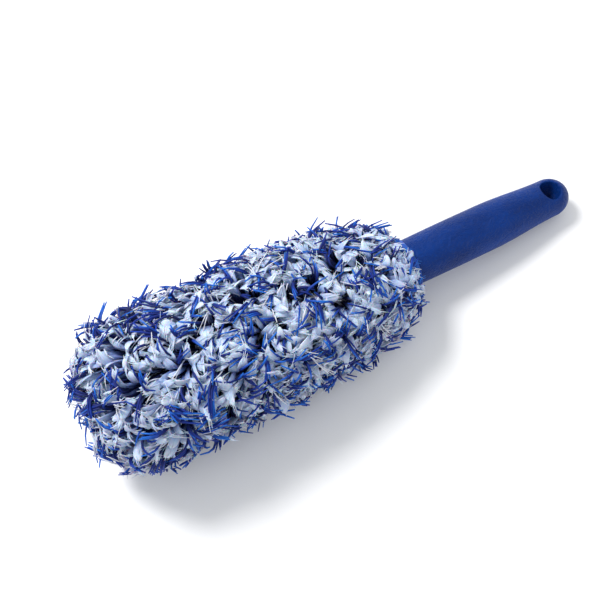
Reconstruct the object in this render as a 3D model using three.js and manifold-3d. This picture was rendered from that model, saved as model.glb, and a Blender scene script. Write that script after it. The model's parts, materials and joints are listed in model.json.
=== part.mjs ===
// Microfibre wheel brush. A hollow moulded handle with a hanging hole holds a flexible spine. The
// spine runs through a foam body made of two halves, and a sewn pile sleeve with an elastic mouth
// is pulled over the foam.
//
// Millimetres. In the brush's own frame +X runs along its axis towards the end of the handle,
// X = 0 is the handle's front face, and Z is up. The whole brush then leans by leanAngle, so that
// it lies on the underside of its pile and on the end of its handle, both at Z = 0.

import * as THREE from "three";
import { mergeVertices } from "three/addons/utils/BufferGeometryUtils.js";
import Module from "manifold-3d";

const wasm = await Module();
wasm.setup();

// ---------------------------------------------------------------- driving dimensions

const clearance = 0.3; // air between pieces that touch
const leanAngle = THREE.MathUtils.degToRad(7);

const handleLength = 143; // from the front face to the rounded end
const handleWidth = 32.8; // at the thickest part of the grip
const handleThickness = 31;
const neckWidth = 31.6; // at the front face
const neckThickness = 29.9;
const endWidth = 27.5; // where the rounded end begins
const endThickness = 26;
const endRounding = 15; // length of the rounded end along the axis
const gripPlace = 55; // how far behind the front face the grip is thickest
const taperStart = 72; // where the grip begins to narrow towards its end
const noseFillet = 2.5;
const hangingHoleDiameter = 15;
const hangingHoleInset = 17.5; // from the end of the handle to the hole's centre
const holeWall = 5; // plastic between the hanging hole and the handle's bore
const boreDraft = 2.4; // how much the bore narrows towards its end, so that the moulding's core pulls out

const spineDiameter = 12; // at the neck
const spineTipDiameter = 9;
const ribDiameter = 18;
const ribThickness = 3;
const ribCount = 6;
const tangLength = 46; // the spine's end inside the handle
const barbHeight = 1;
const barbLength = 5;
const barbCount = 3;
const plugWall = 4.2; // plastic of the neck plug around the tang
const plugLength = 52;
const bendPlace = -2; // where the spine bends, just ahead of the handle's front face
const seatLip = 2; // how far the tang's seat opens ahead of the spine's round end

const foamLength = 188;
const foamWidth = 38;
const foamThickness = 32;
const foamTipRounding = 16;
const foamTipSquareness = 2.2; // exponent of the tip's outline: 2 is an ellipse
const neckGap = 7; // open stretch between the handle's front face and the foam

const backingThickness = 1.2;
const seamHeight = 3;
const hemWidth = 6; // along the axis
const hemThickness = 2.6;
const hemWall = 0.6; // one layer of the folded cloth
const hemStart = 1;

const pileWidth = 90;
const pileThickness = 78;
const pileTipDepth = 25; // pile beyond the tip of the backing
const pileTipRounding = 42;
const pileTipSquareness = 2.5;
const pileMouthDepth = 4; // pile outside the backing at the mouth of the sleeve
const pileMouthRounding = 62;
const pileSag = 4; // how far the pile hangs below the middle of the foam
const headSquareness = 2.35; // exponent of the head's superelliptic section
const handleSquareness = 2;

const tableDepth = 200;
const insideSegments = 20; // round the pieces that the handle and the foam hide
const ringPoints = 36;

// ---------------------------------------------------------------- solids and meshes

function solidFrom(geometry) {
  const bare = geometry.clone();
  bare.deleteAttribute("normal");
  bare.deleteAttribute("uv");
  const merged = mergeVertices(bare, 1e-4);
  const corners = merged.index.array;
  const triVerts = [];
  for (let i = 0; i < corners.length; i += 3) {
    const [a, b, c] = corners.slice(i, i + 3);
    if (a !== b && b !== c && c !== a) triVerts.push(a, b, c);
  }
  const vertProperties = merged.attributes.position.array;
  const mesh = new wasm.Mesh({ numProp: 3, vertProperties, triVerts: new Uint32Array(triVerts) });
  return new wasm.Manifold(mesh);
}

function geometryFrom(solid) {
  const { vertProperties, triVerts } = solid.getMesh();
  const geometry = new THREE.BufferGeometry();
  geometry.setAttribute("position", new THREE.BufferAttribute(new Float32Array(vertProperties), 3));
  geometry.setIndex(new THREE.BufferAttribute(new Uint32Array(triVerts), 1));
  geometry.computeVertexNormals();
  return geometry;
}

function plainMaterial(color, roughness, metalness = 0) {
  return new THREE.MeshStandardMaterial({ color, roughness, metalness });
}

const handlePlastic = plainMaterial(0x1f3f86, 0.45);
const plugPlastic = plainMaterial(0x2b2d31, 0.55);
const spinePlastic = plainMaterial(0xd9dade, 0.5);
const foamRubber = plainMaterial(0x33363c, 0.95);
const backingCloth = plainMaterial(0xc9cede, 0.95);
const hemCloth = plainMaterial(0x0b4fae, 0.9);
const elasticCord = plainMaterial(0xf1f1ee, 0.8);
const pileYarn = plainMaterial(0xb9c4e2, 0.98);

function part(name, solid, material) {
  const mesh = new THREE.Mesh(geometryFrom(solid), material);
  mesh.name = name;
  return mesh;
}

// A box that covers the given range of heights and everything along X and Y.
function slabGeometry(low, high) {
  const reach = 3 * (pileTipDepth + foamLength + handleLength);
  return new THREE.BoxGeometry(reach, reach, high - low).translate(0, 0, (low + high) / 2);
}

const slab = (low, high) => solidFrom(slabGeometry(low, high));

// A profile of [x, radius] pairs turned about the X axis.
function turned(profile) {
  const points = profile.map(([x, radius]) => new THREE.Vector2(radius, x));
  return solidFrom(new THREE.LatheGeometry(points, insideSegments).rotateZ(-Math.PI / 2));
}

// A closed solid through sections { x, halfWidth, halfThickness, middle }, in order of rising x,
// where middle is the height of the section's centre. Its ends are fans centred at startX, endX.
function loft(sections, startX, endX, squareness = headSquareness) {
  const positions = [];
  const ring = ({ x, halfWidth, halfThickness, middle = 0 }) =>
    Array.from({ length: ringPoints }, (_, i) => {
      const turn = (2 * Math.PI * i) / ringPoints;
      const [across, up] = [Math.cos(turn), Math.sin(turn)];
      const bulge = (v) => Math.sign(v) * Math.abs(v) ** (2 / squareness);
      return [x, halfWidth * bulge(across), middle + halfThickness * bulge(up)];
    });
  const rings = sections.map(ring);
  const last = rings.length - 1;
  const startPoint = [startX, 0, sections[0].middle ?? 0];
  const endPoint = [endX, 0, sections[last].middle ?? 0];
  for (let i = 0; i < ringPoints; i++) {
    const next = (i + 1) % ringPoints;
    positions.push(startPoint, rings[0][next], rings[0][i]);
    positions.push(endPoint, rings[last][i], rings[last][next]);
    for (let k = 0; k < last; k++) {
      const [a, b, c, d] = [rings[k][i], rings[k][next], rings[k + 1][next], rings[k + 1][i]];
      positions.push(a, b, c, a, c, d);
    }
  }
  const geometry = new THREE.BufferGeometry();
  geometry.setAttribute("position", new THREE.Float32BufferAttribute(positions.flat(), 3));
  return solidFrom(geometry);
}

// How far a rounded end has closed, from 1 where the rounding begins to 0 at its pole.
const roundedEnd = (share, squareness) => (1 - share ** squareness) ** (1 / squareness);

// Shares from 0 to almost 1 that crowd towards the pole of a rounded end.
function endShares(count) {
  return Array.from({ length: count }, (_, i) => Math.sin((Math.PI / 2) * (i / count)));
}

// ---------------------------------------------------------------- handle

const smooth = (t) => t * t * (3 - 2 * t);
const limited = (t) => Math.min(Math.max(t, 0), 1);
const roundedStart = handleLength - endRounding;

// The handle's section at x, before its front edge is filleted and its end rounded.
function handleSection(x) {
  const swell = Math.sin((Math.PI / 2) * limited(x / gripPlace));
  const taper = smooth(limited((x - taperStart) / (roundedStart - taperStart)));
  const size = (neck, grip, end) => {
    const full = THREE.MathUtils.lerp(neck, grip, swell);
    return THREE.MathUtils.lerp(full, end, taper) / 2;
  };
  return {
    x,
    halfWidth: size(neckWidth, handleWidth, endWidth),
    halfThickness: size(neckThickness, handleThickness, endThickness),
  };
}

function handleSections() {
  const noseSteps = 4;
  const bodySteps = 14;
  const endSteps = 7;
  const sections = [];
  for (let i = 0; i <= noseSteps; i++) {
    const turn = (Math.PI / 2) * (i / noseSteps);
    const { x, halfWidth, halfThickness } = handleSection(noseFillet * (1 - Math.cos(turn)));
    const inset = noseFillet * (1 - Math.sin(turn));
    sections.push({ x, halfWidth: halfWidth - inset, halfThickness: halfThickness - inset });
  }
  for (let i = 1; i < bodySteps; i++) {
    sections.push(handleSection(THREE.MathUtils.lerp(noseFillet, roundedStart, i / bodySteps)));
  }
  for (const share of endShares(endSteps)) {
    const closed = roundedEnd(share, handleSquareness);
    sections.push({
      x: roundedStart + endRounding * share,
      halfWidth: (endWidth / 2) * closed,
      halfThickness: (endThickness / 2) * closed,
    });
  }
  return sections;
}

const tangRadius = spineDiameter / 2;
const plugRadius = tangRadius + barbHeight + clearance + plugWall;
const boreRadius = plugRadius + clearance;
const holeX = handleLength - hangingHoleInset;
const boreEnd = holeX - hangingHoleDiameter / 2 - holeWall;
const boreEndRadius = boreRadius - boreDraft;

function handle() {
  const bore = turned([
    [-clearance, 0],
    [-clearance, boreRadius],
    [plugLength, boreRadius],
    [boreEnd - boreEndRadius / 2, boreEndRadius],
    [boreEnd, boreEndRadius / 2],
    [boreEnd, 0],
  ]);
  const drill = new THREE.CylinderGeometry(
    hangingHoleDiameter / 2,
    hangingHoleDiameter / 2,
    2 * handleThickness,
    ringPoints,
  );
  const hole = solidFrom(drill.rotateX(Math.PI / 2).translate(holeX, 0, 0));
  const body = loft(handleSections(), 0, handleLength, handleSquareness);
  return part("handle", body.subtract(bore).subtract(hole), handlePlastic);
}

// The spine bends where its round end turns in a seat in the tang.
const spineEndRadius = tangRadius - clearance;
const tangStart = bendPlace + seatLip; // the lips of the seat
const tangEnd = tangLength;
const barbPitch = (tangLength - 2 * barbLength) / barbCount;

// The tang's outline with its snap barbs, or the socket that fits around it.
function tangOutline(spread) {
  const outline = [];
  for (let i = 0; i < barbCount; i++) {
    const x = 2 * barbLength + barbPitch * i;
    outline.push([x - spread, tangRadius + spread]);
    outline.push([x - spread, tangRadius + barbHeight + spread]);
    outline.push([x + barbLength + spread, tangRadius + spread]);
  }
  return outline;
}

function spineTang() {
  const seatSteps = 6;
  const seatHalfAngle = Math.acos((tangStart - bendPlace) / tangRadius);
  const profile = [];
  for (let i = 0; i <= seatSteps; i++) {
    const turn = (seatHalfAngle * i) / seatSteps;
    profile.push([bendPlace + tangRadius * Math.cos(turn), tangRadius * Math.sin(turn)]);
  }
  profile.push([tangStart, tangRadius], ...tangOutline(0), [tangEnd, tangRadius], [tangEnd, 0]);
  return part("spine_tang", turned(profile), spinePlastic);
}

function neckPlug() {
  const front = clearance;
  const profile = [
    [front, tangRadius + clearance],
    [front, plugRadius],
    [plugLength - clearance, plugRadius],
    [plugLength - clearance, 0],
    [tangEnd + clearance, 0],
    [tangEnd + clearance, tangRadius + clearance],
    ...tangOutline(clearance).reverse(),
    [front, tangRadius + clearance],
  ];
  return part("neck_plug", turned(profile), plugPlastic);
}

// ---------------------------------------------------------------- spine and foam

const foamStart = -neckGap;
const foamTip = foamStart - foamLength;
const spineTip = foamTip + foamTipRounding;
const ribPitch = (foamLength - foamTipRounding - neckGap) / ribCount;

const spineRadiusAt = (x) =>
  THREE.MathUtils.lerp(spineDiameter, spineTipDiameter, (x - bendPlace) / (spineTip - bendPlace)) / 2;

// The spine's ribs, as a profile in order of falling x.
function ribbedRod(spread) {
  const profile = [];
  for (let i = 0; i < ribCount; i++) {
    const rear = foamStart - neckGap - ribPitch * i;
    const front = rear - ribThickness;
    profile.push([rear + spread, spineRadiusAt(rear) + spread]);
    profile.push([rear + spread, ribDiameter / 2 + spread]);
    profile.push([front - spread, ribDiameter / 2 + spread]);
    profile.push([front - spread, spineRadiusAt(front) + spread]);
  }
  return profile;
}

function roundedTip(spread) {
  const tipSteps = 5;
  const radius = spineTipDiameter / 2 + spread;
  const centre = spineTip + spineTipDiameter / 2;
  const profile = [];
  for (let i = 0; i <= tipSteps; i++) {
    const turn = (Math.PI / 2) * (i / tipSteps);
    profile.push([centre - radius * Math.sin(turn), radius * Math.cos(turn)]);
  }
  profile[tipSteps][1] = 0;
  return profile;
}

function spine() {
  const endSteps = 6;
  const end = [];
  for (let i = 0; i <= endSteps; i++) {
    const turn = (Math.PI / 2) * (i / endSteps);
    end.push([bendPlace + spineEndRadius * Math.cos(turn), spineEndRadius * Math.sin(turn)]);
  }
  const profile = [...end, ...ribbedRod(0), ...roundedTip(0)];
  return part("spine", turned(profile.reverse()), spinePlastic);
}

// The mouth of the sleeve goes round the foam and the handle's neck, whichever is the larger.
const mouthEnd = hemStart + hemWidth;
const mouthHalfWidth = Math.max(foamWidth / 2, handleSection(mouthEnd).halfWidth);
const mouthHalfThickness = Math.max(foamThickness / 2, handleSection(mouthEnd).halfThickness);

// A solid that follows the foam's outer surface at a distance, from its rounded tip to endX. Past
// the foam it widens to the mouth of the sleeve.
function foamShape(distance, endX) {
  const sections = [];
  const tip = foamTip - distance;
  const rounding = foamTipRounding + distance;
  const tipSteps = 7;
  for (const share of endShares(tipSteps).reverse()) {
    const closed = roundedEnd(share, foamTipSquareness);
    sections.push({
      x: tip + rounding * (1 - share),
      halfWidth: (foamWidth / 2 + distance) * closed,
      halfThickness: (foamThickness / 2 + distance) * closed,
    });
  }
  sections.push({ ...sections.at(-1), x: foamStart });
  if (endX > foamStart) {
    const mouth = {
      halfWidth: mouthHalfWidth + distance,
      halfThickness: mouthHalfThickness + distance,
    };
    sections.push({ ...mouth, x: -clearance }, { ...mouth, x: endX });
  }
  return loft(sections, tip, endX);
}

function foamHalves() {
  const channel = turned(
    [
      [foamStart + clearance, 0],
      [foamStart + clearance, spineDiameter / 2 + clearance],
      ...ribbedRod(clearance),
      ...roundedTip(clearance),
    ].reverse(),
  );
  const body = foamShape(0, foamStart).subtract(channel);
  const reach = foamWidth;
  return [
    part("foam_upper", body.subtract(slab(-reach, clearance / 2)), foamRubber),
    part("foam_lower", body.subtract(slab(-clearance / 2, reach)), foamRubber),
  ];
}

// ---------------------------------------------------------------- sleeve

const clothInside = clearance;
const clothOutside = clothInside + backingThickness;
const backingEnd = hemStart - clearance;

// The stretch between two distances from the foam, open at the mouth.
function clothLayer(inside, outside, endX) {
  return foamShape(outside, endX).subtract(foamShape(inside, endX + hemWidth));
}

function sleeveCloth() {
  const layer = clothLayer(clothInside, clothOutside, backingEnd);
  const seam = seamHeight / 2;
  const edge = seam + clearance;
  const reach = pileThickness;
  return [
    part("backing_upper", layer.subtract(slab(-reach, edge)), backingCloth),
    part("backing_lower", layer.subtract(slab(-edge, reach)), backingCloth),
    part("side_seam", layer.subtract(slab(seam, reach)).subtract(slab(-reach, -seam)), hemCloth),
  ];
}

// A ring that follows the sleeve's mouth.
function mouthRing(inside, outside, startX, endX) {
  const ends = (distance, from, to) => {
    const size = {
      halfWidth: mouthHalfWidth + distance,
      halfThickness: mouthHalfThickness + distance,
    };
    return loft([{ ...size, x: from }, { ...size, x: to }], from, to);
  };
  return ends(outside, startX, endX).subtract(ends(inside, startX - hemWidth, endX + hemWidth));
}

function hem() {
  const outside = clothInside + hemThickness;
  const band = mouthRing(clothInside, outside, hemStart, mouthEnd);
  const fold = mouthRing(clothInside + hemWall, outside - hemWall, hemStart - hemWidth, mouthEnd - hemWall);
  const elasticIn = clothInside + hemWall + clearance;
  const elasticOut = outside - hemWall - clearance;
  const elasticEnd = mouthEnd - hemWall - clearance;
  const elastic = mouthRing(elasticIn, elasticOut, hemStart + hemWall, elasticEnd);
  return [part("hem_band", band.subtract(fold), hemCloth), part("hem_elastic", elastic, elasticCord)];
}

// The outer surface of the pile, drawn in towards the mouth and rounded at the tip.
function pileShape() {
  const pileTip = foamTip - clothOutside - pileTipDepth;
  const tipSteps = 8;
  const mouthSteps = 6;
  const sections = [];
  for (const share of endShares(tipSteps).reverse()) {
    const closed = roundedEnd(share, pileTipSquareness);
    sections.push({
      x: pileTip + pileTipRounding * (1 - share),
      halfWidth: (pileWidth / 2) * closed,
      halfThickness: (pileThickness / 2) * closed,
      middle: -pileSag,
    });
  }
  const mouthDistance = clothOutside + clearance + pileMouthDepth;
  for (let i = 0; i <= mouthSteps; i++) {
    const turn = (Math.PI / 2) * (i / mouthSteps);
    const drawnIn = 1 - Math.cos(turn);
    sections.push({
      x: backingEnd - pileMouthRounding * (1 - Math.sin(turn)),
      halfWidth: THREE.MathUtils.lerp(pileWidth / 2, mouthHalfWidth + mouthDistance, drawnIn),
      halfThickness: THREE.MathUtils.lerp(
        pileThickness / 2,
        mouthHalfThickness + mouthDistance,
        drawnIn,
      ),
      middle: -pileSag * (1 - drawnIn),
    });
  }
  return loft(sections, pileTip, backingEnd);
}

function pileHalves(table) {
  const inside = foamShape(clothOutside + clearance, mouthEnd);
  const body = pileShape().subtract(inside).subtract(table);
  const reach = pileThickness;
  return [
    part("pile_upper", body.subtract(slab(-reach, clearance / 2)), pileYarn),
    part("pile_lower", body.subtract(slab(-clearance / 2, reach)), pileYarn),
  ];
}

// ---------------------------------------------------------------- the whole brush

// The height of the axis at X = 0 when the leaning handle just touches the table.
function neckHeight() {
  const heights = handleSections().map(
    ({ x, halfThickness }) => x * Math.sin(leanAngle) + halfThickness * Math.cos(leanAngle),
  );
  return Math.max(...heights);
}

const brush = new THREE.Group();
brush.position.z = neckHeight();
brush.rotation.y = leanAngle;
brush.updateMatrixWorld();

const belowTable = new THREE.Matrix4().copy(brush.matrixWorld).invert();
const table = solidFrom(slabGeometry(-tableDepth, 0).applyMatrix4(belowTable));

const handleBody = new THREE.Group().add(handle(), neckPlug(), spineTang());
const coreBody = new THREE.Group().add(spine(), ...foamHalves());
const sleeveBody = new THREE.Group().add(...sleeveCloth(), ...hem(), ...pileHalves(table));
brush.add(handleBody, coreBody, sleeveBody);

const wheelBrush = new THREE.Group().add(brush);
const box = new THREE.Box3().setFromObject(wheelBrush, true);
brush.position.x -= (box.min.x + box.max.x) / 2;

export default wheelBrush;
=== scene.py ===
"""Looks of the microfibre wheel brush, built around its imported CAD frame.

Metres, in the frame's own axes. Most shapes are made in the brush's own frame, where +X runs along
the brush towards the end of its handle, X = 0 is the handle's front face, and Z is up, square to
the brush. Every random choice comes from one seeded generator.
"""

import json
import math

import bmesh
import bpy
import numpy as np
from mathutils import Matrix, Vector


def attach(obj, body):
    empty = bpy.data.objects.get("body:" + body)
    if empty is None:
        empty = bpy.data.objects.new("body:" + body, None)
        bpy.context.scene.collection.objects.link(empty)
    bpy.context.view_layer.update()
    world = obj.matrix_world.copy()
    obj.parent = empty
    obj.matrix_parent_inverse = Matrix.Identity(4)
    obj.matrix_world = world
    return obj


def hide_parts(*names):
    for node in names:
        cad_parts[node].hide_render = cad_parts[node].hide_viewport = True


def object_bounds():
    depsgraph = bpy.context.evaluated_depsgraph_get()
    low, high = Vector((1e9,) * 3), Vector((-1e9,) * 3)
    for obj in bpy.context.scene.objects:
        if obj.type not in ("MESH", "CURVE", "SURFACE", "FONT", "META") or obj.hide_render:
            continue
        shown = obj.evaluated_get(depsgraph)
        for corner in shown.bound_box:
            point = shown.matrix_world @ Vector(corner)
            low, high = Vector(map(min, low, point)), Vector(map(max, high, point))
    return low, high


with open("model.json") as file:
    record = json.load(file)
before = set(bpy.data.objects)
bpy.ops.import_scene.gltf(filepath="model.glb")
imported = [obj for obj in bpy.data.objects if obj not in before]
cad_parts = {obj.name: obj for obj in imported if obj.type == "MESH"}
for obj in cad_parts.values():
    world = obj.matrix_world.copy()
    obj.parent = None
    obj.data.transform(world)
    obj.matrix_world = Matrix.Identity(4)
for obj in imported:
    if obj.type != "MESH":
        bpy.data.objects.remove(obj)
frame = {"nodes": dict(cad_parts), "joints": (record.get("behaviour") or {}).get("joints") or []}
cad_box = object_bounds()

MM = 0.001
SEED = 11
FIT = 0.3 * MM  # clearance between pieces that fit together


# ---- the brush's own frame


def joint(name):
    return next(j for j in frame["joints"] if j["name"] == name)


ALONG = -np.array(joint("sleeve_pull_off")["axis"], float)
UP = np.array(joint("neck_bend")["axis"], float)
SIDE = np.cross(UP, ALONG)
AXES = np.stack([ALONG, SIDE, UP])
BEND_POINT = np.array(joint("neck_bend")["pos_m"], float)


def cad_points(node):
    return np.array([v.co for v in frame["nodes"][node].data.vertices], float)


FRONT_FACE = BEND_POINT + ALONG * ((cad_points("handle") - BEND_POINT) @ ALONG).min()


def to_world(points):
    return FRONT_FACE + np.asarray(points, float) @ AXES


def to_local(points):
    return (np.asarray(points, float) - FRONT_FACE) @ AXES.T


def extent(node):
    """The lowest and highest corner of a CAD node in the brush's own frame."""
    points = to_local(cad_points(node))
    return points.min(0), points.max(0)


# ---- meshes


def placed(name, mesh, material, body):
    """A smooth piece that shows the mesh and rides on a CAD body."""
    mesh.shade_smooth()
    mesh.materials.append(material)
    piece = bpy.data.objects.new(name, mesh)
    bpy.context.scene.collection.objects.link(piece)
    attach(piece, body)
    return piece


def outward_faces(mesh):
    """Turns every face of a closed mesh outwards."""
    work = bmesh.new()
    work.from_mesh(mesh)
    bmesh.ops.recalc_face_normals(work, faces=work.faces)
    work.to_mesh(mesh)
    work.free()


def sharpen(piece, degrees=40):
    piece.data.set_sharp_from_angle(angle=math.radians(degrees))


def unit(vectors):
    return vectors / (np.linalg.norm(vectors, axis=-1, keepdims=True) + 1e-12)


def quarter_turn(steps):
    """Angles from 0 to a right angle in even steps."""
    return np.linspace(0, math.pi / 2, steps + 1)


def full_turn(sides):
    """Even angles all the way round."""
    return 2 * math.pi * np.arange(sides) / sides


def ellipse_ring(x, wide, thick, sides):
    """Points round an ellipse across the brush at x, from its half width and half thickness."""
    turn = full_turn(sides)
    return np.stack([np.full(sides, x), wide * np.cos(turn), thick * np.sin(turn)], 1)


def ring_faces(first, second):
    """Quads between two rings of vertex numbers."""
    after = [*range(1, len(first)), 0]
    return [(first[i], first[j], second[j], second[i]) for i, j in enumerate(after)]


class Shape:
    """Points and faces in the brush's own frame, collected ring by ring."""

    def __init__(self):
        self.points, self.faces = [], []

    def add(self, ring):
        start = len(self.points)
        self.points.extend(np.asarray(ring, float).tolist())
        return list(range(start, len(self.points)))

    def join(self, first, second):
        self.faces.extend(ring_faces(first, second))

    def skin(self, outlines, ring=None):
        """Adds outlines and joins each to the one before, and the first to the ring if there's
        one. Gives the outlines' rings."""
        rings = [self.add(outline) for outline in outlines]
        chain = [ring, *rings] if ring else rings
        for first, second in zip(chain, chain[1:]):
            self.join(first, second)
        return rings

    def fan(self, ring, centre):
        middle = self.add([centre])[0]
        count = len(ring)
        self.faces.extend((ring[i], ring[(i + 1) % count], middle) for i in range(count))

    def piece(self, name, material, body):
        mesh = bpy.data.meshes.new(name)
        mesh.from_pydata(to_world(self.points).tolist(), [], self.faces)
        mesh.validate()
        made = placed(name, mesh, material, body)
        outward_faces(mesh)
        return made


# ---- materials


def hex_colour(text):
    """A linear colour from six hexadecimal sRGB digits."""
    shares = [int(text[i : i + 2], 16) / 255 for i in (0, 2, 4)]
    return [*(s / 12.92 if s <= 0.04045 else ((s + 0.055) / 1.055) ** 2.4 for s in shares), 1]


class Paint:
    """A Principled material and short ways to add procedural nodes to it."""

    def __init__(self, name, colour, roughness, **constants):
        self.material = bpy.data.materials.new(name)
        self.material.use_nodes = True
        self.tree = self.material.node_tree
        self.shader = self.tree.nodes["Principled BSDF"]
        self.fill(self.shader, {"Base Color": hex_colour(colour), "Roughness": roughness})
        self.fill(self.shader, {key.replace("_", " "): value for key, value in constants.items()})
        self.place = self.made("ShaderNodeTexCoord", "Object", {})

    def fill(self, node, inputs):
        """Sets a node's sockets, or links other nodes' outputs to them."""
        for socket, value in inputs.items():
            if isinstance(value, bpy.types.NodeSocket):
                self.tree.links.new(value, node.inputs[socket])
            else:
                node.inputs[socket].default_value = value

    def made(self, kind, output, inputs, **settings):
        """An output of a new node with the given inputs and settings."""
        node = self.tree.nodes.new(kind)
        for key, value in settings.items():
            setattr(node, key, value)
        self.fill(node, inputs)
        return node.outputs[output]

    def noise(self, size, detail=3, distortion=0.0, stretch=None):
        """Noise whose features are about size metres across."""
        place = self.stretched(stretch) if stretch else self.place
        inputs = {"Vector": place, "Scale": 1 / size, "Detail": detail, "Roughness": 0.55}
        return self.made("ShaderNodeTexNoise", "Fac", {**inputs, "Distortion": distortion})

    def cells(self, size):
        inputs = {"Vector": self.place, "Scale": 1 / size}
        return self.made("ShaderNodeTexVoronoi", "Distance", inputs)

    def stretched(self, scale):
        return self.made("ShaderNodeMapping", "Vector", {"Vector": self.place, "Scale": scale})

    def attribute(self, name):
        return self.made("ShaderNodeAttribute", "Fac", {}, attribute_name=name)

    def math(self, operation, first, second):
        return self.made("ShaderNodeMath", 0, {0: first, 1: second}, operation=operation)

    def ramp(self, value, stops):
        """A colour ramp from (position, colour) pairs."""
        output = self.made("ShaderNodeValToRGB", "Color", {"Fac": value})
        elements = output.node.color_ramp.elements
        while len(elements) < len(stops):
            elements.new(1)
        for element, (position, colour) in zip(elements, stops):
            element.position = position
            element.color = hex_colour(colour)
        return output

    def levels(self, value, low, high):
        """The value's middle half, stretched to run from low to high."""
        span = {"From Min": 0.25, "From Max": 0.75, "To Min": low, "To Max": high}
        return self.made("ShaderNodeMapRange", "Result", {"Value": value, **span})

    def added(self, first, second):
        """The sum of two colours."""
        inputs = {0: 1.0, 6: first, 7: second}  # its factor and colours, which share their names
        return self.made("ShaderNodeMix", 2, inputs, data_type="RGBA", blend_type="ADD")

    def bump(self, height, depth, strength=1.0, under=None):
        """Relief of depth metres, on top of another bump's normal."""
        inputs = {"Height": height, "Distance": depth, "Strength": strength}
        if under is not None:
            inputs["Normal"] = under
        return self.made("ShaderNodeBump", "Normal", inputs)

    def finish(self, colour, roughness, normal):
        self.fill(self.shader, {"Base Color": colour, "Roughness": roughness, "Normal": normal})
        return self.material


def handle_plastic():
    """Satin blue plastic with faint flow marks, and a creased grain that is a little paler where
    it stands up."""
    paint = Paint("handle_plastic", "02347e", 0.42, Specular_IOR_Level=0.13)
    grain = paint.noise(0.9 * MM, detail=4, distortion=1.2)
    creases = paint.noise(4.5 * MM, detail=5, distortion=2.5, stretch=(0.7, 1, 1))
    flow = paint.noise(22 * MM, detail=2, stretch=(0.35, 1, 1))
    relief = paint.bump(grain, 0.16 * MM, 0.7, paint.bump(creases, 1.6 * MM, 0.8))
    colour = paint.ramp(flow, [(0.3, "022666"), (0.7, "033686")])
    flecks = paint.ramp(creases, [(0.52, "000000"), (0.7, "041430")])
    return paint.finish(paint.added(colour, flecks), paint.levels(grain, 0.34, 0.5), relief)


def dull_plastic(name, dark, light):
    """Moulded plastic that the handle and the foam mostly hide."""
    paint = Paint(name, light, 0.5)
    grain = paint.noise(1.4 * MM, detail=4)
    colour = paint.ramp(paint.noise(9 * MM), [(0.3, dark), (0.7, light)])
    return paint.finish(colour, paint.levels(grain, 0.42, 0.6), paint.bump(grain, 0.08 * MM, 0.6))


def foam_rubber():
    """Closed-cell foam: small round cells, with painted shade that darkens the dents."""
    paint = Paint("foam", "383c43", 0.9, Sheen_Weight=0.1)
    cells = paint.cells(0.9 * MM)
    dents = paint.noise(5 * MM, detail=4)
    # painted shade: darker where the dents noise is low, in the dents of the relief
    colour = paint.ramp(dents, [(0.3, "2a2d33"), (0.72, "474c55")])
    relief = paint.bump(cells, 0.25 * MM, 0.8, paint.bump(dents, 0.5 * MM, 0.5))
    return paint.finish(colour, paint.levels(cells, 0.95, 0.8), relief)


def knitted_cloth(name, dark, light, rib=1.1 * MM, sheen=0.4):
    """A fine knit: ribs across the brush, broken into stitches, with a soft sheen."""
    paint = Paint(name, light, 0.92, Sheen_Weight=sheen, Sheen_Roughness=0.45)
    inputs = {"Vector": paint.place, "Scale": 1 / (3.2 * rib), "Distortion": 2.5}
    wave = paint.made("ShaderNodeTexWave", "Fac", {**inputs, "Detail Scale": 3.0})
    height = paint.math("SUBTRACT", wave, paint.cells(rib))
    fuzz = paint.noise(0.5 * MM, detail=3)
    colour = paint.ramp(paint.noise(6 * MM, detail=3), [(0.3, dark), (0.7, light)])
    relief = paint.bump(fuzz, 0.12 * MM, 0.5, paint.bump(height, 0.35 * MM, 0.8))
    return paint.finish(colour, paint.levels(fuzz, 0.85, 0.98), relief)


def pile_yarn(name, stops, gloss, fibres=3.0, **soft):
    """Yarn of fine fibres. Its colour runs from root to tip, dark with painted shade at the root,
    and changes from strand to strand.
    """
    paint = Paint(name, stops[-1][1], gloss, Specular_IOR_Level=0.3, **soft)
    depth, shade, across = (paint.attribute(n) for n in ("from_root", "shade", "across"))
    grown = {"X": (across, fibres), "Y": (shade, 90.0), "Z": (depth, 2.5)}
    grown = {axis: paint.math("MULTIPLY", *pair) for axis, pair in grown.items()}
    along = paint.made("ShaderNodeCombineXYZ", "Vector", grown)
    inputs = {"Vector": along, "Scale": 1.0, "Detail": 3.0}
    streak = paint.made("ShaderNodeTexNoise", "Fac", inputs)
    by_strand = paint.math("MULTIPLY", shade, 0.16)
    change = paint.math("ADD", by_strand, paint.math("MULTIPLY", streak, 0.22))
    place = paint.math("SUBTRACT", paint.math("ADD", depth, change), 0.19)
    # painted shade: the stops darken towards the root, where light doesn't reach into the pile
    colour = paint.ramp(place, stops)
    relief = paint.bump(streak, 0.35 * MM, 0.8)
    return paint.finish(colour, paint.levels(streak, gloss - 0.08, gloss + 0.08), relief)


# ---- handle and spine

HANDLE_HIGH = extent("handle")[1]
HANDLE_LENGTH = HANDLE_HIGH[0]
GRIP = HANDLE_HIGH[1:]  # half width and half thickness where the grip is thickest
NECK = np.array([31.6, 29.9]) / 2 * MM
END = np.array([27.5, 26.0]) / 2 * MM
GRIP_PLACE = 55 * MM
TAPER_START = 72 * MM
END_ROUNDING = 15 * MM
NOSE_FILLET = 2.5 * MM
ROUNDED_START = HANDLE_LENGTH - END_ROUNDING

HOLE_RADIUS = 7.5 * MM
HOLE_PLACE = HANDLE_LENGTH - 17.5 * MM
HOLE_FILLET = 1.4 * MM
HOLE_PATCH = 11.6 * MM  # half the length of the patch around the hole

PLUG_HIGH = extent("neck_plug")[1]
BORE_RADIUS = PLUG_HIGH[1] + FIT
BORE_END = HOLE_PLACE - HOLE_RADIUS - 5 * MM
BORE_DRAFT = 2.4 * MM  # how much narrower the bore is where its end begins to close
BORE_CLOSING = 5 * MM
BORE_CHAMFER = 0.5 * MM

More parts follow.
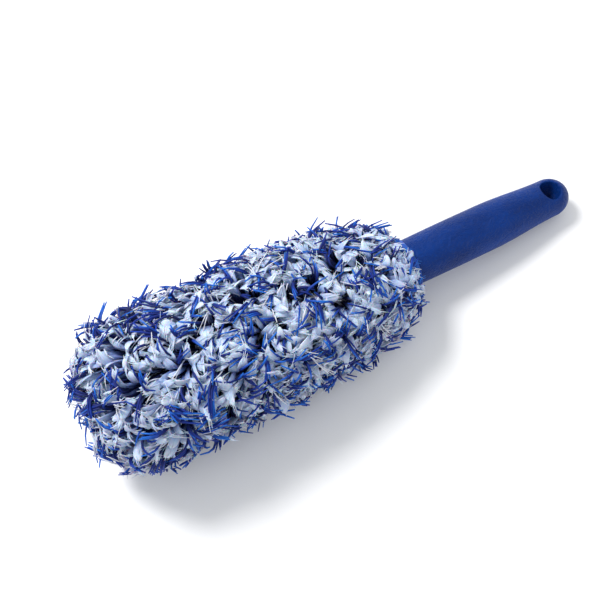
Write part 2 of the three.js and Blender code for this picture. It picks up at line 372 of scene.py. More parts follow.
HANDLE_SIDES = 96
PATCH_SIDES = HANDLE_SIDES // 4  # the patch around the hole takes a quarter of the way round
GRIP_STEPS, DOME_STEPS = 54, 6  # rings between the fillet and the patch, and past the patch


def smoothed(t):
    """A ramp from 0 to 1 with soft ends."""
    t = np.clip(t, 0, 1)
    return t * t * (3 - 2 * t)


def handle_size(x):
    """Half width and half thickness of the handle at x."""
    swell = math.sin(math.pi / 2 * min(max(x / GRIP_PLACE, 0), 1))
    taper = smoothed((x - TAPER_START) / (ROUNDED_START - TAPER_START))
    size = NECK + (GRIP - NECK) * swell
    size = size + (END - size) * taper
    closing = max((x - ROUNDED_START) / END_ROUNDING, 0)
    return size * math.sqrt(max(1 - closing**2, 0))


def handle_ring(x, inset=0.0):
    return ellipse_ring(x, *(handle_size(x) - inset), HANDLE_SIDES)


def handle_surface(x, y):
    """Height of the handle's upper surface."""
    wide, thick = handle_size(x)
    return thick * math.sqrt(max(1 - (y / wide) ** 2, 0))


def patch_edge(patch, low):
    """The vertices round a hole's patch, from the patch's rings and the first side it takes."""
    high = low + PATCH_SIDES
    edge = [patch[0][i] for i in range(low, high)]
    edge += [ring[high] for ring in patch[:-1]]
    edge += [patch[-1][i] for i in range(high, low, -1)]
    return edge + [ring[low] for ring in patch[:0:-1]]


def hole_side(shape, edge, sign):
    """The surface from the patch's edge to the hole, on the upper (1) or lower (-1) side."""
    outer = np.array([shape.points[i][:2] for i in edge])
    turns = np.arctan2(outer[:, 1], outer[:, 0] - HOLE_PLACE)
    around = np.stack([np.cos(turns), np.sin(turns)], 1)
    centre = np.array([HOLE_PLACE, 0])
    rim = HOLE_RADIUS + HOLE_FILLET

    def outline(flat, drop=0.0):
        return [(x, y, sign * (handle_surface(x, y) - drop)) for x, y in flat]

    to_rim = centre + rim * around - outer
    outlines = [outline(outer + to_rim * share) for share in (0.3, 0.6, 0.85, 1.0)]
    for turn in quarter_turn(4)[1:]:
        flat = centre + (rim - HOLE_FILLET * math.sin(turn)) * around
        outlines.append(outline(flat, HOLE_FILLET * (1 - math.cos(turn))))
    return shape.skin(outlines, edge)[-1]


def hole_wall(shape, upper, lower):
    """The straight wall of the hanging hole, from its upper edge to its lower edge."""
    places = {tuple(np.round(shape.points[i][:2], 6)): i for i in lower}
    lower = [places[tuple(np.round(shape.points[i][:2], 6))] for i in upper]
    top, bottom = (np.array([shape.points[i] for i in edge]) for edge in (upper, lower))
    outlines = [top * (1 - share) + bottom * share for share in (0.25, 0.5, 0.75)]
    shape.join(shape.skin(outlines, upper)[-1], lower)


def bore(shape, ring):
    """The blind bore from the handle's front face, which narrows past the plug and closes."""
    steps = [
        (0, BORE_RADIUS + BORE_CHAMFER),
        (BORE_CHAMFER, BORE_RADIUS),
        (PLUG_HIGH[0] + FIT, BORE_RADIUS),
        (BORE_END - BORE_CLOSING, BORE_RADIUS - BORE_DRAFT),
        (BORE_END, BORE_RADIUS / 2),
    ]
    rings = shape.skin([ellipse_ring(x, r, r, HANDLE_SIDES) for x, r in steps], ring)
    shape.fan(rings[-1], (BORE_END, 0, 0))


def handle_body(material):
    """The moulded handle: a tapered grip with a filleted hanging hole and an open bore."""
    shape = Shape()
    nose = NOSE_FILLET * (1 - np.array([np.cos(quarter_turn(6)), np.sin(quarter_turn(6))]).T)
    patch_start, patch_end = HOLE_PLACE - HOLE_PATCH, HOLE_PLACE + HOLE_PATCH
    grip = np.linspace(NOSE_FILLET, patch_start, GRIP_STEPS + 2)[1:-1]
    middle = np.linspace(patch_start, patch_end, PATCH_SIDES + 1)
    dome_start = math.asin((patch_end - ROUNDED_START) / END_ROUNDING)
    dome = np.linspace(dome_start, math.pi / 2, DOME_STEPS + 2)[1:-1]
    dome = ROUNDED_START + END_ROUNDING * np.sin(dome)
    rings = [shape.add(handle_ring(x, inset)) for x, inset in nose]
    rings += [shape.add(handle_ring(x)) for x in (*grip, *middle, *dome)]

    first_patch = len(nose) + len(grip)
    patch = rings[first_patch : first_patch + len(middle)]
    top = HANDLE_SIDES // 8
    patches = {1: top, -1: top + HANDLE_SIDES // 2}  # the first side of each patch
    open_sides = {i for low in patches.values() for i in range(low, low + PATCH_SIDES)}
    for first, second in zip(rings, rings[1:]):
        quads = ring_faces(first, second)
        if first in patch[:-1]:
            quads = [quad for i, quad in enumerate(quads) if i not in open_sides]
        shape.faces.extend(quads)
    shape.fan(rings[-1], (HANDLE_LENGTH, 0, 0))

    upper, lower = (hole_side(shape, patch_edge(patch, patches[k]), k) for k in (1, -1))
    hole_wall(shape, upper, lower)
    bore(shape, rings[0])
    piece = shape.piece("handle_body", material, "handle")
    sharpen(piece)
    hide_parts("handle")


SPINE_LOW, SPINE_HIGH = extent("spine")
SPINE_TIP = SPINE_LOW[0]
SPINE_ROD = 6 * MM  # its radius at the handle
SPINE_ROD_TIP = 4.5 * MM
SPINE_SIDES = 48
NECK_GAP = 7 * MM  # from the handle to the foam, and from the foam's end to the first rib
FOAM_LOW, FOAM_HIGH = extent("foam_lower")
FOAM_START = -NECK_GAP
RIB_RADIUS = SPINE_HIGH[1]
RIB_WIDTH = 3 * MM
RIB_EDGE = 0.4 * MM
RIB_COUNT = 6
RIB_PITCH = (FOAM_START - NECK_GAP - SPINE_TIP) / RIB_COUNT


def rib_places():
    """The rear and front edge of each rib, from the neck to the tip."""
    rears = [FOAM_START - NECK_GAP - RIB_PITCH * i for i in range(RIB_COUNT)]
    return [(rear, rear - RIB_WIDTH) for rear in rears]


def rod_radius(x):
    share = (SPINE_HIGH[0] - x) / (SPINE_HIGH[0] - SPINE_TIP)
    return SPINE_ROD + (SPINE_ROD_TIP - SPINE_ROD) * min(max(share, 0), 1)


def spine_rod(material):
    """The flexible spine, with a round end in the handle and ribs that the foam grips."""
    profile = [
        (SPINE_HIGH[0] - SPINE_ROD * (1 - math.cos(t)), (SPINE_ROD - FIT) * math.sin(t))
        for t in np.radians([0, 20, 40, 60, 80, 95])
    ]
    for rear, front in rib_places():
        profile += [
            (rear, rod_radius(rear)),
            (rear, RIB_RADIUS - RIB_EDGE),
            (rear - RIB_EDGE, RIB_RADIUS),
            (front + RIB_EDGE, RIB_RADIUS),
            (front, RIB_RADIUS - RIB_EDGE),
            (front, rod_radius(front)),
        ]
    middle = SPINE_TIP + SPINE_ROD_TIP
    profile += [
        (middle - SPINE_ROD_TIP * math.sin(t), SPINE_ROD_TIP * math.cos(t))
        for t in np.radians([0, 20, 40, 60, 80, 90])
    ]
    shape = Shape()
    rings = shape.skin([ellipse_ring(x, r, r, SPINE_SIDES) for x, r in profile[1:-1]])
    shape.fan(rings[0], (profile[0][0], 0, 0))
    shape.fan(rings[-1], (profile[-1][0], 0, 0))
    piece = shape.piece("spine_rod", material, "core")
    sharpen(piece)
    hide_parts("spine")


# ---- foam

HEAD_SQUARENESS = 2.35
FOAM_HALF = np.array([FOAM_HIGH[1], -FOAM_LOW[2]])
FOAM_TIP = FOAM_LOW[0]
FOAM_ROUNDING = 16 * MM
FOAM_GAP = 0.15 * MM  # half the gap between the two halves


def superellipse(turn, half, squareness=HEAD_SQUARENESS):
    """Points (y, z) of a superellipse with the given half sizes."""
    across, up = np.cos(turn), np.sin(turn)
    power = 2 / squareness
    y = half[..., 0] * np.sign(across) * np.abs(across) ** power
    z = half[..., 1] * np.sign(up) * np.abs(up) ** power
    return y, z


def foam_closing(x):
    """How far the foam's section has closed at x: 1 on the body, 0 at the tip."""
    share = np.clip((FOAM_TIP + FOAM_ROUNDING - x) / FOAM_ROUNDING, 0, 1)
    return (1 - share**2.2) ** (1 / 2.2)


def channel_radius(x):
    """Radius of the channel that holds the spine, 0 beyond its tip."""
    if x < SPINE_TIP - FIT:
        return 0.0
    wide = any(front - RIB_EDGE <= x <= rear + RIB_EDGE for rear, front in rib_places())
    return (RIB_RADIUS if wide else rod_radius(x)) + FIT


def foam_ring(x, sign):
    """The outline of one foam half at x: over the outside, faintly uneven from the cutting, then
    back along the split."""
    turn, grain = np.linspace(0, math.pi, 41), 900 * x
    y, z = superellipse(turn, FOAM_HALF * foam_closing(x))
    swell = 1 + 0.006 * np.sin(grain + 5 * turn) + 0.004 * np.sin(2.3 * grain + 11 * turn)
    y, z = y * swell, np.maximum(z * swell, FOAM_GAP)
    radius = min(channel_radius(x), 0.8 * abs(y[0]))
    arc = np.linspace(math.pi, 0, 13)
    inner_y = radius * np.cos(arc)
    inner_z = np.maximum(radius * np.sin(arc), FOAM_GAP)
    y = np.concatenate([y, inner_y])
    z = np.concatenate([z, inner_z])
    return np.stack([np.full(len(y), x), y, sign * z], 1)


def foam_half(name, sign, node, material):
    """The upper (1) or lower (-1) half of the foam, with its half of the spine's channel."""
    rounded = FOAM_TIP + FOAM_ROUNDING
    stations = [*np.linspace(FOAM_START, rounded, 90)]
    for rear, front in rib_places():
        for gap in (0.5 * MM, 0.35 * MM):  # just past each rib's edges, where the channel widens
            stations += [rear + gap, front - gap]
    stations += [rounded - FOAM_ROUNDING * math.sin(t) for t in quarter_turn(12)[1:-1]]
    stations = sorted(set(stations), reverse=True)
    shape = Shape()
    rings = shape.skin([foam_ring(x, sign) for x in stations])
    shape.faces.append(tuple(rings[0]))
    shape.fan(rings[-1], (FOAM_TIP, 0, sign * FOAM_GAP))
    piece = shape.piece(name, material, "core")
    sharpen(piece, 50)
    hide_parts(node)


# ---- the sleeve's surfaces

CLOTH_LOW, CLOTH_HIGH = extent("side_seam")
CLOTH_THICKNESS = 1.2 * MM
CLOTH_HALF = np.array([CLOTH_HIGH[1], extent("backing_upper")[1][2]])
CLOTH_ROUNDING = FOAM_ROUNDING + CLOTH_HALF[0] - FOAM_HALF[0]
MOUTH = CLOTH_HIGH[0]
NECK_START = FOAM_START - 1 * MM  # where the cloth begins to draw in
HEM_GAP = np.array([2.2, 0.7]) * MM  # wide enough at the sides for the bend at the neck
HEM_THICKNESS = 1.8 * MM
HEM_WIDTH = 4.4 * MM
CORD_THICKNESS = 0.8 * MM
MOUTH_HALF = NECK + HEM_GAP + CLOTH_THICKNESS  # the mouth's outside, drawn in by the elastic

PILE_LOW, PILE_TOP = extent("pile_lower")[0], extent("pile_upper")[1][2]
PILE_THICKNESS = 78 * MM  # before the table presses the underside flat
PILE_PROUD = 1.8 * MM  # how far the tufts stand out past the CAD volume on the flanks
PILE_HALF = np.array([-PILE_LOW[1] + PILE_PROUD, PILE_THICKNESS / 2])
PILE_SQUARENESS = 2.6
PILE_SAG = PILE_HALF[1] - PILE_TOP
PILE_ROUNDING = 42 * MM
PILE_MOUTH_HALF = MOUTH_HALF + 3 * MM
PILE_CROWN = 4 * MM  # how far the top stands proud midway
FLANK_TAPER = 95 * MM  # the last stretch, where the pile draws in towards the mouth
TOP_TAPER = 100 * MM


class HeadSurface:
    """A long rounded surface around the brush's axis. Places on it are a distance from its tip,
    measured along it, and a turn round the axis."""

    def __init__(self, x, half, middle, squareness=HEAD_SQUARENESS):
        self.x, self.half, self.middle, self.squareness = x, half, middle, squareness
        steps = np.hypot(np.diff(x), np.diff(half.mean(1)))
        self.distance = np.concatenate([[0], np.cumsum(steps)])
        self.length = self.distance[-1]

    def sizes(self, distance):
        return np.stack([np.interp(distance, self.distance, self.half[:, k]) for k in (0, 1)], -1)

    def at(self, distance, turn):
        distance, turn = np.broadcast_arrays(distance, turn)
        y, z = superellipse(turn, self.sizes(distance), self.squareness)
        x = np.interp(distance, self.distance, self.x)
        return np.stack([x, y, z + np.interp(distance, self.distance, self.middle)], -1)

    def girth(self, distance):
        a, b = self.sizes(distance)
        return math.pi * (3 * (a + b) - math.sqrt((3 * a + b) * (a + 3 * b)))


def rounded_tip(tip, rounding, half, squareness):
    """x and half sizes from a rounded tip's pole to where its section is full."""
    share = np.cos(quarter_turn(39))
    closed = np.maximum(1 - share**squareness, 0) ** (1 / squareness)
    return tip + rounding * (1 - share), closed[:, None] * half


def cloth_surface(inset=0.0):
    """The sleeve's backing cloth: it follows the foam, and its elastic mouth draws it in."""
    full = CLOTH_HALF - inset
    tip_x, tip_half = rounded_tip(CLOTH_LOW[0] + inset, CLOTH_ROUNDING - inset, full, 2.2)
    drawn = np.linspace(0, 1, 24)
    neck_x = NECK_START + (MOUTH - NECK_START) * drawn
    neck_half = full + (MOUTH_HALF - CLOTH_HALF) * smoothed(drawn)[:, None]
    x = np.concatenate([tip_x, neck_x])
    return HeadSurface(x, np.concatenate([tip_half, neck_half]), np.zeros(len(x)))


def pile_surface():
    """Where most tufts end. The top is a little crowned and draws in early towards the mouth,
    and the underside and the flanks stay full for longer."""
    tip_x, tip_half = rounded_tip(PILE_LOW[0], PILE_ROUNDING, PILE_HALF, 2.5)
    body_x = np.linspace(tip_x[-1], MOUTH, 90)[1:]

    def drawn(taper, power):
        share = np.clip((body_x - MOUTH + taper) / taper, 0, 1)
        return 1 - (1 - share**power) ** (1 / power)

    crown = PILE_CROWN * np.sin(math.pi * np.linspace(0, 1, len(body_x))) ** 2
    wide = PILE_HALF[0] + (PILE_MOUTH_HALF[0] - PILE_HALF[0]) * drawn(FLANK_TAPER, 2)
    top = PILE_TOP + crown + (PILE_MOUTH_HALF[1] - PILE_TOP) * drawn(TOP_TAPER, 1.5)
    bottom = PILE_TOP - 2 * PILE_HALF[1]
    bottom = bottom + (-PILE_MOUTH_HALF[1] - bottom) * drawn(FLANK_TAPER, 2.2)
    half = np.concatenate([tip_half, np.stack([wide, (top - bottom) / 2], 1)])
    middle = np.concatenate([np.full(len(tip_x), -PILE_SAG), (top + bottom) / 2])
    return HeadSurface(np.concatenate([tip_x, body_x]), half, middle, PILE_SQUARENESS)


CLOTH = cloth_surface()
CLOTH_INSIDE = cloth_surface(CLOTH_THICKNESS)
PILE = pile_surface()
SPLAY = 45 * MM  # of cloth at the tip, whose pile covers the whole rounded end
PILE_SPLAY = 68 * MM


def pile_distance(distance):
    """The place on the pile's outside that lies over a place on the cloth."""
    return np.interp(distance, [0, SPLAY, CLOTH.length], [0, PILE_SPLAY, PILE.length])


# ---- sleeve cloth

SEAM_TURN = 0.1  # half the angle that the side seam takes from a panel
SEAM_HALF = np.array([0.55, 1.5]) * MM  # half the tape's thickness and half its width
SEAM_INSET = 0.62 * MM
SEAM_STITCHES = 0.12  # how much its stitches swell it
RIPPLE = 0.15 * MM  # of the cloth beside its hem
PLEATS = 34


def cloth_panel(name, sign, node, material):
    """One stretched backing panel, a thin closed shell from the tip to the mouth."""
    stations = np.concatenate([np.linspace(0.02, 0.16, 14), np.linspace(0.18, 1, 70)])
    turn = np.linspace(SEAM_TURN, math.pi - SEAM_TURN, 49) * sign
    out = np.stack([0 * turn, np.cos(turn), np.sin(turn)], 1)
    outlines = []
    for share in stations:
        ripple = RIPPLE * smoothed((share - 0.9) / 0.1) * np.sin(26 * turn)
        outer = CLOTH.at(share * CLOTH.length, turn) + out * ripple[:, None]
        inner = CLOTH_INSIDE.at(share * CLOTH_INSIDE.length, turn)
        outlines.append(np.concatenate([outer, inner[::-1]]))
    shape = Shape()
    rings = shape.skin(outlines)
    for ring in (rings[0], rings[-1]):
        half = len(turn)
        pairs = list(zip(ring[:half], ring[half:][::-1]))
        shape.faces.extend((a, b, d, c) for (a, c), (b, d) in zip(pairs, pairs[1:]))
    piece = shape.piece(name, material, "sleeve")
    sharpen(piece, 60)
    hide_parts(node)
    return piece


def seam_tape(material):
    """The sewn edge between the panels, from the mouth round the tip and back to the mouth."""
    distance = np.linspace(1, 0.004, 160) * CLOTH.length
    path = np.concatenate([CLOTH.at(distance, 0.0), CLOTH.at(distance[::-1], math.pi)])
    outward = np.cross(unit(np.gradient(path, axis=0)), [0, 0, 1.0])
    turn = full_turn(12)
    outlines = []
    for i, (centre, out) in enumerate(zip(path, outward)):
        stitch = 1 + SEAM_STITCHES * math.sin(i * 2.1)
        depth = SEAM_HALF[0] * np.cos(turn) * stitch - SEAM_INSET
        height = SEAM_HALF[1] * np.sin(turn) * stitch
        outlines.append(centre + out * depth[:, None] + np.outer(height, [0, 0, 1]))
    shape = Shape()
    rings = shape.skin(outlines)
    shape.faces += [tuple(rings[0]), tuple(rings[-1])]
    piece = shape.piece("side_seam_tape", material, "sleeve")
    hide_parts("side_seam")
    return piece


def mouth_ring(name, half, span, thickness, gathers, material):
    """A ring of rolled cloth round the mouth, gathered into small pleats by the elastic."""
    around = full_turn(120)
    y, z = superellipse(around, half + thickness / 2, 2.1)
    outlines = []
    for turn in full_turn(18):
        across, out = math.cos(turn), math.sin(turn)
        x = (span[0] + span[1]) / 2 + (span[1] - span[0]) / 2 * np.sign(across) * abs(across) ** 0.6
        lift = thickness / 2 * np.sign(out) * abs(out) ** 0.6
        pleat = 1 + gathers * max(out, 0) * np.sin(PLEATS * around + 2 * np.sin(3 * around))
        grown = 1 + lift * pleat / np.hypot(y, z)
        outlines.append(np.stack([np.full(len(y), x), y * grown, z * grown], 1))
    shape = Shape()
    rings = shape.skin(outlines)
    shape.join(rings[-1], rings[0])
    return shape.piece(name, material, "sleeve")


# ---- pile

TABLE_GAP = 0.25 * MM
PATH_TABLE_GAP = 0.9 * MM  # of the middles of strands
NECK_CLEARANCE = 0.8 * MM  # between strands and the inside of the hem
BARE_EDGE = 5 * MM  # of cloth beside the hem that carries no tufts
COLLAR_WIDTH = 9 * MM
MOUTH_STRETCH = 26 * MM  # where the tufts begin to lie towards the handle
PARTING_SPACING = 15 * MM
FLANK_SAG = 0.25  # how much tufts lie downwards, against 1 for lying away from a parting

TUFT_SPACING = 2.75 * MM
TUFT_START = 0.38  # where the soft part of a tuft begins, as a share of its length
STEM_END = 0.62
PAD_WIDTHS = (1.7, 3.6)  # half widths, in millimetres
PAD_THICKNESS = 0.5 * MM  # half of a thick pad's
PAD_FLATNESS = 0.26  # a thinner pad's thickness over its width
PAD_CURL = 3.2 * MM  # sideways
PAD_WAVE = 0.8 * MM  # up and down
FRAYS = 5  # fibres along each pad
FRAY_WIDTHS = (0.2, 0.32)  # half widths, in millimetres
FRAY_STRAY = 0.8 * MM

CLUMP_SPACING = 5.1 * MM
CLUMP_WIDTH = 0.7 * MM  # half of a filament's
CLUMP_CURL = 10 * MM
NAVY_SHARE = 0.6
LOOSE_SPACING = 9 * MM
COLLAR_SPACING = 2.2 * MM


def strand_faces(count, steps, sides):
    """Quads round every strand, with a cap at each end."""
    strand = np.arange(count)[:, None, None] * steps * sides
    ring = np.arange(steps - 1)[None, :, None] * sides
    here, after = np.arange(sides), (np.arange(sides) + 1) % sides
    corners = [strand + ring + k for k in (here, after, after + sides, here + sides)]
    quads = np.stack(corners, -1).reshape(-1, 4)
    roots = (strand[:, 0] + here[::-1]).reshape(-1, sides)
    tips = (strand[:, 0] + (steps - 1) * sides + here).reshape(-1, sides)
    return [face for group in (quads, roots, tips) for face in group.tolist()]


def strand_piece(name, material, sides, depth, paths, side, width, thickness, shade):
    """Many closed strands in one piece. Depth runs from 0 at the cloth to 1 at the tip. Paths are
    (strand, point, 3), side is each strand's flat direction, and width and thickness are half
    sizes at each point."""
    count, steps, _ = paths.shape
    tangent = unit(np.gradient(paths, axis=1))
    side = side[:, None]
    side = unit(side - tangent * np.sum(side * tangent, 2, keepdims=True))
    flat = np.cross(tangent, side)
    across, up = np.cos(full_turn(sides)), np.sin(full_turn(sides))
    wide = (side * width[..., None])[:, :, None] * across[:, None]
    thick = (flat * thickness[..., None])[:, :, None] * up[:, None]
    points = to_world((paths[:, :, None] + wide + thick).reshape(-1, 3))
    points[:, 2] = np.maximum(points[:, 2], TABLE_GAP)
    mesh = bpy.data.meshes.new(name)
    mesh.from_pydata(points.tolist(), [], strand_faces(count, steps, sides))
    for label, values in (
        ("from_root", np.repeat(depth.ravel(), sides)),
        ("shade", np.repeat(shade, steps * sides)),
        ("across", np.tile(across, count * steps)),
    ):
        layer = mesh.attributes.new(label, "FLOAT", "POINT")
        layer.data.foreach_set("value", values.astype(np.float32))
    piece = placed(name, mesh, material, "sleeve")
    return piece


def scattered(spacing, rng, start=0.0, end=None):
    """Places spread evenly but irregularly over the cloth: distances from its tip and turns."""
    distances, turns = [], []
    for row in np.arange(start + spacing / 2, end or CLOTH.length - BARE_EDGE, spacing):
        count = max(3, round(CLOTH.girth(row) / spacing))
        turn = 2 * math.pi * (np.arange(count) + rng.random(count) * 0.9 + rng.random()) / count
        turns.append(turn % (2 * math.pi))
        distances.append(row + spacing * (rng.random(count) - 0.5) * 0.9)
    return np.clip(np.concatenate(distances), 0, CLOTH.length), np.concatenate(turns)


def surface_axes(distance, turn):
    """Unit vectors along and round the pile's outside at places on the cloth."""
    there, step = pile_distance(distance), 0.5 * MM
    along = unit(PILE.at(there + step, turn) - PILE.at(there - step, turn))
    round_it = unit(PILE.at(there, turn + 0.02) - PILE.at(there, turn - 0.02))
    return along, round_it


def near_mouth(distance):
    """How close a place on the cloth is to the mouth: 0 on the body, 1 at the hem."""
    return smoothed((distance - CLOTH.length + MOUTH_STRETCH) / MOUTH_STRETCH)


def lying(pull, distance, turn):
    """The directions along the pile's outside that are nearest to the pulls."""
    along, round_it = surface_axes(distance, turn)
    return unit(
        (pull * along).sum(1)[:, None] * along + (pull * round_it).sum(1)[:, None] * round_it
    )


def parting_directions(distance, turn, partings, rng, spread):
    """Which way each tuft lies: away from the nearest parting, outwards at the tip, and a little
    downwards on the flanks."""
    tips = PILE.at(pile_distance(distance), turn)
    gaps = ((tips[:, None] - partings[None]) ** 2).sum(2)
    away = unit(tips - partings[gaps.argmin(1)])
    down = -AXES[:, 2]
    pull = away + spread * rng.normal(size=tips.shape) + FLANK_SAG * down
    along, _ = surface_axes(distance, turn)
    return lying(pull + near_mouth(distance)[:, None] * along, distance, turn)


class Bends:
    """Strands that stand out of the cloth, then bend over and lie in the given direction. Level
    is where they bend, as a share of the pile's depth, lean how far they lie over in metres, and
    hook how far their ends drop back in metres."""

    def __init__(self, distance, turn, direction, level, lean, hook):
        lean = lean * (1 - 0.5 * near_mouth(distance))
        root = CLOTH.at(distance, turn)
        over = PILE.at(pile_distance(distance), turn)
        self.outward = unit(over - root)
        bend = root + (over - root) * level[:, None]
        first = root + (bend - root) * 0.55
        end = bend + direction * lean[:, None] - self.outward * hook[:, None]
        self.corners = [root, first, bend, end]
        self.side = unit(np.cross(self.outward, direction))

    def paths(self, owner, depth):
        """Points at the given depths, for strands that follow their owners."""
        t = depth[..., None]
        a, b, c, d = (p[owner][:, None, :] for p in self.corners)
        return (1 - t) ** 3 * a + 3 * (1 - t) ** 2 * t * b + 3 * (1 - t) * t**2 * c + t**3 * d


def kept_clear(paths):
    """Pushes strands up off the table and out of the handle's neck and the hem."""
    world = to_world(paths.reshape(-1, 3))
    world[:, 2] = np.maximum(world[:, 2], PATH_TABLE_GAP)
    points = to_local(world)
    half = NECK + HEM_GAP + NECK_CLEARANCE
    inside = np.hypot(points[:, 1] / half[0], points[:, 2] / half[1])
    near = (points[:, 0] > MOUTH - 2 * MM) & (inside < 1)
    points[near, 1:] /= np.maximum(inside[near], 0.2)[:, None]
    return points.reshape(paths.shape)


def tuft_bends(partings, rng):
    """Where the tufts stand, and how they bend over."""
    distance, turn = scattered(TUFT_SPACING, rng)
    count = len(distance)
    direction = parting_directions(distance, turn, partings, rng, 0.75)
    level = rng.uniform(0.78, 0.98, count)
    lean = rng.uniform(7, 14, count) * MM
    hook = rng.uniform(-1, 3, count) * MM
    return turn, Bends(distance, turn, direction, level, lean, hook)


def stems(turn, bends, rng):
    """The twisted lower part of every tuft, one thick strand each."""
    count, steps = len(turn), 4
    depth = np.tile(np.linspace(0, STEM_END, steps), (count, 1))
    paths = bends.paths(np.arange(count), depth)
    size = rng.uniform(1.0, 1.5, count)[:, None] * MM * np.array([0.6, 0.9, 1.0, 0.7])
    return turn, depth, kept_clear(paths), bends.side, size, size * 0.8, rng.random(count)


class Tufts:
    """The soft upper part of every tuft: a broad pad of fibres with a round, ragged end."""

    def __init__(self, turn, bends, rng):
        count = len(turn)
        self.turn, self.bends, self.rng = turn, bends, rng
        tangent = unit(bends.corners[3] - bends.corners[2])
        roll = rng.normal(scale=0.35, size=count)[:, None]
        self.flat = unit(bends.side + np.cross(tangent, bends.side) * roll)
        self.up = np.cross(tangent, self.flat)
        self.wide = rng.uniform(*PAD_WIDTHS, count) * MM
        self.curl = rng.normal(scale=PAD_CURL, size=count)
        self.wave = rng.normal(scale=PAD_WAVE, size=count)
        self.end = rng.uniform(0.3, 0.7, count)  # where the pad begins to close
        self.phase = 2 * math.pi * rng.random(count)
        self.shade = rng.random(count)

    def middles(self, owner, share):
        """Points along the middles of the owners' pads, share from 0 to 1 at the tip."""
        paths = self.bends.paths(owner, TUFT_START + (1 - TUFT_START) * share)
        sideways = self.curl[owner][:, None] * share**2
        lift = self.wave[owner][:, None] * np.sin(self.phase[owner][:, None] + 5 * share) * share
        paths = paths + self.flat[owner][:, None] * sideways[..., None]
        return paths + self.up[owner][:, None] * lift[..., None]

    def pads(self):
        """The pads: each widens from its stem and closes in a round end."""
        count = len(self.turn)
        steps = np.array([0, 0.2, 0.4, 0.58, 0.72, 0.83, 0.92, 0.97, 1.0])
        share = np.tile(steps, (count, 1))
        paths = self.middles(np.arange(count), share)
        opened = 0.35 + 0.65 * smoothed(steps / 0.5)
        end = self.end[:, None]
        closing = np.clip((steps - end) / (1 - end), 0, 0.99)
        width = self.wide[:, None] * opened * np.sqrt(1 - closing**1.8)
        thickness = np.minimum(width * PAD_FLATNESS, PAD_THICKNESS)
        depth = TUFT_START + (1 - TUFT_START) * share
        return self.turn, depth, kept_clear(paths), self.flat, width, thickness, self.shade

    def frays(self):
        """Single fibres along the pads that stand out past their ends and edges."""
        rng = self.rng
        owner = np.repeat(np.arange(len(self.turn)), FRAYS)
        count = len(owner)
        place = np.tile(np.linspace(-0.9, 0.9, FRAYS), len(self.turn))  # across the pad
        place = place + rng.normal(scale=0.12, size=count)
        start = rng.uniform(0.3, 0.55, count)[:, None]
        end = (rng.uniform(0.95, 1.22, count) - 0.2 * place**2)[:, None]
        steps = np.linspace(0, 1, 6)
        share = start + (end - start) * steps
        paths = self.middles(owner, share)
        aside = (place * self.wide[owner])[:, None] * (0.95 - 0.3 * steps)
        proud = (0.45 * MM * (1 - place**2))[:, None] * (1 - 0.5 * steps)
        paths = paths + self.flat[owner][:, None] * aside[..., None]
        paths = paths + self.bends.outward[owner][:, None] * proud[..., None]
        stray = rng.normal(scale=FRAY_STRAY, size=(count, 1, 3)) * steps[:, None] ** 2
        width = rng.uniform(*FRAY_WIDTHS, (count, 1)) * MM * np.array([0.7, 1, 1, 1, 0.9, 0.5])
        depth = TUFT_START + (1 - TUFT_START) * share
        paths = kept_clear(paths + stray)
        return self.turn[owner], depth, paths, self.flat[owner], width, width, self.shade[owner]


def clump_sizes(count, rng, fewest, usual, most):
    """How many strands each clump has. About a third of them have more than usual."""
    crowded = rng.random(count) < 0.35
    large = rng.integers(usual, most + 1, count)
    small = rng.integers(fewest, usual + 1, count)
    return np.where(crowded, large, small)


def clumps(places, partings, rng, strands, width, levels, leans, hooks, wander, steps=10):
    """Clumps of thin filaments that share a root. Width is half a filament's thickness, leans and
    hooks are in millimetres, and wander is how far clumps turn from the way the tufts lie."""
    distance, turn = places
    number = clump_sizes(len(distance), rng, *strands)
    owner = np.repeat(np.arange(len(distance)), number)
    count = len(owner)
    distance = np.clip(distance[owner] + rng.normal(scale=0.7 * MM, size=count), 0, CLOTH.length)
    turn_gap = 0.7 * MM / np.maximum(CLOTH.sizes(distance).mean(1), 3 * MM)
    turn = turn[owner] + rng.normal(size=count) * turn_gap
    shared = parting_directions(distance, turn, partings, rng, 0.0)
    swing = rng.normal(size=(len(number), 3))[owner] * wander + rng.normal(size=(count, 3)) * 0.14
    direction = lying(shared + swing, distance, turn)
    level, lean, hook = (rng.uniform(*span, len(number))[owner] for span in (levels, leans, hooks))
    level = level + rng.normal(scale=0.015, size=count)
    lean = lean * MM * rng.uniform(0.75, 1.15, count)
    hook = hook * MM + rng.normal(scale=0.6 * MM, size=count)
    bends = Bends(distance, turn, direction, level, lean, hook)
    depth = np.tile(np.linspace(0, 1, steps), (count, 1))
    paths = bends.paths(np.arange(count), depth)
    curl = rng.normal(scale=CLUMP_CURL, size=len(number))[owner]
    curl = curl + rng.normal(scale=0.6 * MM, size=count)
    bow = depth**2 * np.sin(3.6 * depth)
    paths = paths + bends.side[:, None] * (curl[:, None] * bow)[..., None]
    size = width * rng.uniform(0.85, 1.2, count)[:, None]
    size = size * np.interp(np.linspace(0, 1, steps), [0, 0.8, 1], [1, 1, 0.5])
    return turn, depth, kept_clear(paths), bends.side, size, size, rng.random(count)


def yarn_pieces(prefix, made, sides, material):
    """Two pieces from the strands of one kind, one on each backing panel."""
    turn, *arrays = made
    upper = np.sin(turn) >= 0
    pieces = []
    for half, here in (("upper", upper), ("lower", ~upper)):
        mine = (array[here] for array in arrays)
        piece = strand_piece(f"{prefix}_{half}", material, sides, *mine)
        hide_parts(f"pile_{half}")
        pieces.append(piece)
    return pieces
